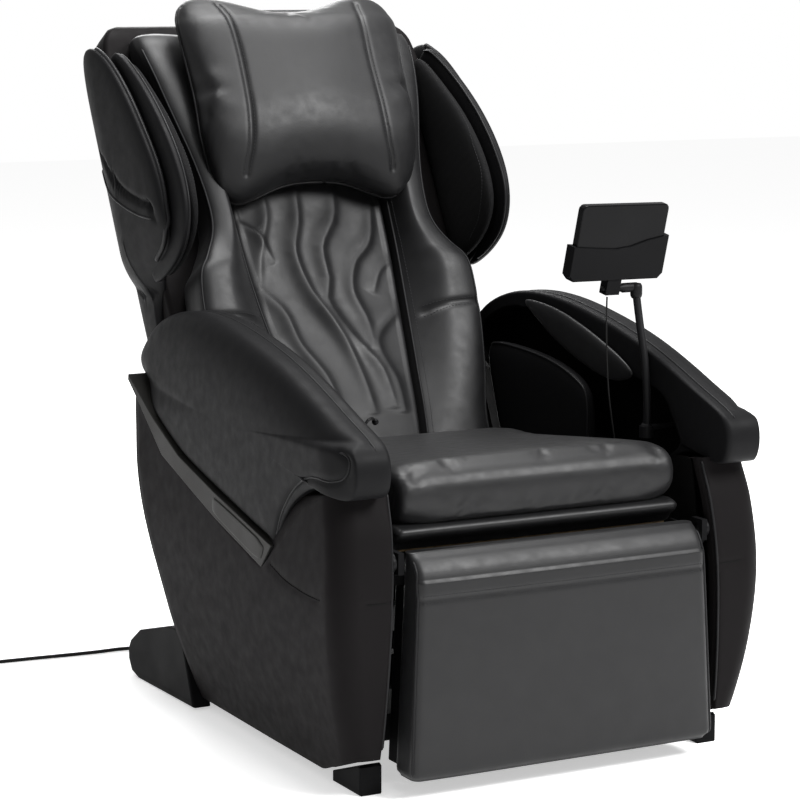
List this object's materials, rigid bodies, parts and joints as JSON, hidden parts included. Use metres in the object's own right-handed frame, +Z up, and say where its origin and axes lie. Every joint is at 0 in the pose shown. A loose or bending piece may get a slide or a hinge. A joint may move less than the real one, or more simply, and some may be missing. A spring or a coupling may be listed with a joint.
{
  "type": "massage chair",
  "caption": "Reclining massage chair with an upholstered shell, roller carriage in the back, arm massagers, folding leg rest and a remote control on a stand.",
  "frame": {"origin": "on the floor, under the middle of the chair's box (without its mains lead)", "axes": "+Z up, +X towards the sitter's left, the sitter faces -Y"},
  "size_m": [1.1113, 1.2731, 1.2674],
  "materials": {
    "leather": "soft satin black leather with fine grain",
    "vinyl": "matt warm black vinyl",
    "mesh_fabric": "matt black knitted mesh",
    "plastic": "satin black moulded plastic",
    "trim": "dark grey moulded trim, fine texture",
    "steel": "black powder coat",
    "gloss": "polished black plastic",
    "rubber": "matt black rubber",
    "roller": "off-white nylon",
    "plywood": "birch plywood"
  },
  "bodies": {
    "base": {"base_frame": "steel", "side_panel_left": "vinyl", "side_panel_right": "vinyl", "front_foot_left": "plastic", "front_foot_right": "plastic", "rear_skid_left": "plastic", "rear_skid_right": "plastic", "seat_pan": "plywood", "seat_cushion": "leather", "seat_valance": "leather", "rear_cover": "plastic", "control_box": "plastic", "air_pump": "plastic", "recline_drive": "steel", "leg_drive": "steel", "arm_shell_left": "leather", "arm_shell_right": "leather", "arm_trim_left": "trim", "arm_trim_right": "trim", "arm_pad_left": "mesh_fabric", "arm_pad_right": "mesh_fabric", "arm_airbag_left": "leather", "arm_airbag_right": "leather", "arm_hook": "plastic", "stand_bracket": "steel", "remote_lead": "rubber", "power_gland": "rubber", "power_cord": "rubber", "power_cord_coil": "rubber", "power_plug": "rubber"},
    "backrest": {"back_frame": "steel", "rear_shell": "vinyl", "centre_pad": "leather", "back_bolster_left": "leather", "back_bolster_right": "leather", "wing_shell_left": "leather", "wing_shell_right": "leather", "wing_pad_left": "leather", "wing_pad_right": "leather", "wing_mesh_left": "mesh_fabric", "wing_mesh_right": "mesh_fabric"},
    "headrest": {"head_pillow": "leather", "pillow_flap": "leather"},
    "carriage": {"roller_carriage": "steel"},
    "knead_left": {"kneading_arm_left": "steel"},
    "knead_right": {"kneading_arm_right": "steel"},
    "roller_ul": {"roller_upper_left": "roller"},
    "roller_ur": {"roller_upper_right": "roller"},
    "roller_ll": {"roller_lower_left": "roller"},
    "roller_lr": {"roller_lower_right": "roller"},
    "leg_rest": {"leg_pad": "leather", "leg_frame": "plastic"},
    "reclining_rod": {"recline_rod": "steel"},
    "lifting_rod": {"leg_rod": "steel"},
    "stand": {"stand_tube": "steel"},
    "holder": {"remote_holder": "plastic"},
    "remote": {"remote_control": "gloss"},
    "wheel_left": {"transport_wheel_left": "rubber"},
    "wheel_right": {"transport_wheel_right": "rubber"},
    "mains_switch": {"power_switch": "gloss"}
  },
  "joints": [
    {"name": "back_recline", "type": "hinge", "parent": "base", "child": "backrest", "pos_m": [0, 0.06413, 0.33], "axis": [-1, 0, 0], "range_deg": [0, 42]},
    {"name": "leg_raise", "type": "hinge", "parent": "base", "child": "leg_rest", "pos_m": [0, -0.58087, 0.378], "axis": [-1, 0, 0], "range_deg": [0, 80]},
    {"name": "pillow_lift", "type": "hinge", "parent": "backrest", "child": "headrest", "pos_m": [0, 0.51219, 1.21527], "axis": [-1, 0, 0], "range_deg": [0, 150]},
    {"name": "carriage_travel", "type": "slide", "parent": "backrest", "child": "carriage", "axis": [0, 0.4695, 0.8829], "range_m": [0, 0.56]},
    {"name": "knead_left", "type": "hinge", "parent": "carriage", "child": "knead_left", "pos_m": [0, 0.23391, 0.50021], "axis": [1, 0, 0], "range_deg": [-8, 8]},
    {"name": "knead_right", "type": "hinge", "parent": "carriage", "child": "knead_right", "pos_m": [0, 0.23391, 0.50021], "axis": [1, 0, 0], "range_deg": [-8, 8]},
    {"name": "roller_ul_spin", "type": "hinge", "parent": "knead_left", "child": "roller_ul", "pos_m": [0, 0.24393, 0.5787], "axis": [1, 0, 0], "continuous": true},
    {"name": "roller_ur_spin", "type": "hinge", "parent": "knead_right", "child": "roller_ur", "pos_m": [0, 0.24393, 0.5787], "axis": [1, 0, 0], "continuous": true},
    {"name": "roller_ll_spin", "type": "hinge", "parent": "knead_left", "child": "roller_ll", "pos_m": [0, 0.17445, 0.44802], "axis": [1, 0, 0], "continuous": true},
    {"name": "roller_lr_spin", "type": "hinge", "parent": "knead_right", "child": "roller_lr", "pos_m": [0, 0.17445, 0.44802], "axis": [1, 0, 0], "continuous": true},
    {"name": "recline_rod_travel", "type": "slide", "parent": "base", "child": "reclining_rod", "axis": [0, -0.9893, -0.1458], "range_m": [0, 0.063]},
    {"name": "leg_rod_travel", "type": "slide", "parent": "base", "child": "lifting_rod", "axis": [0, -0.9999, 0.0141], "range_m": [0, 0.1121]},
    {"name": "stand_swivel", "type": "hinge", "parent": "base", "child": "stand", "pos_m": [0.303, -0.39087, 0.517], "axis": [0, 0, 1], "range_deg": [-10, 90]},
    {"name": "holder_tilt", "type": "hinge", "parent": "stand", "child": "holder", "pos_m": [0.251, -0.35087, 0.757], "axis": [1, 0, 0], "range_deg": [-20, 25]},
    {"name": "remote_lift", "type": "slide", "parent": "holder", "child": "remote", "axis": [0.0538, -0.2129, 0.9756], "range_m": [0, 0.09]},
    {"name": "wheel_left_roll", "type": "hinge", "parent": "base", "child": "wheel_left", "pos_m": [0.3505, 0.25513, 0.0275], "axis": [1, 0, 0], "continuous": true},
    {"name": "wheel_right_roll", "type": "hinge", "parent": "base", "child": "wheel_right", "pos_m": [-0.3505, 0.25513, 0.0275], "axis": [1, 0, 0], "continuous": true},
    {"name": "mains_switch_rock", "type": "hinge", "parent": "base", "child": "mains_switch", "pos_m": [0.126, 0.23313, 0.107], "axis": [1, 0, 0], "range_deg": [-6, 6]}
  ],
  "couplings": [
    {"joint": "knead_right", "follows": "knead_left", "ratio": -1},
    {"joint": "recline_rod_travel", "follows": "back_recline", "m_per_rad": 0.0858},
    {"joint": "leg_rod_travel", "follows": "leg_raise", "m_per_rad": 0.0802}
  ]
}
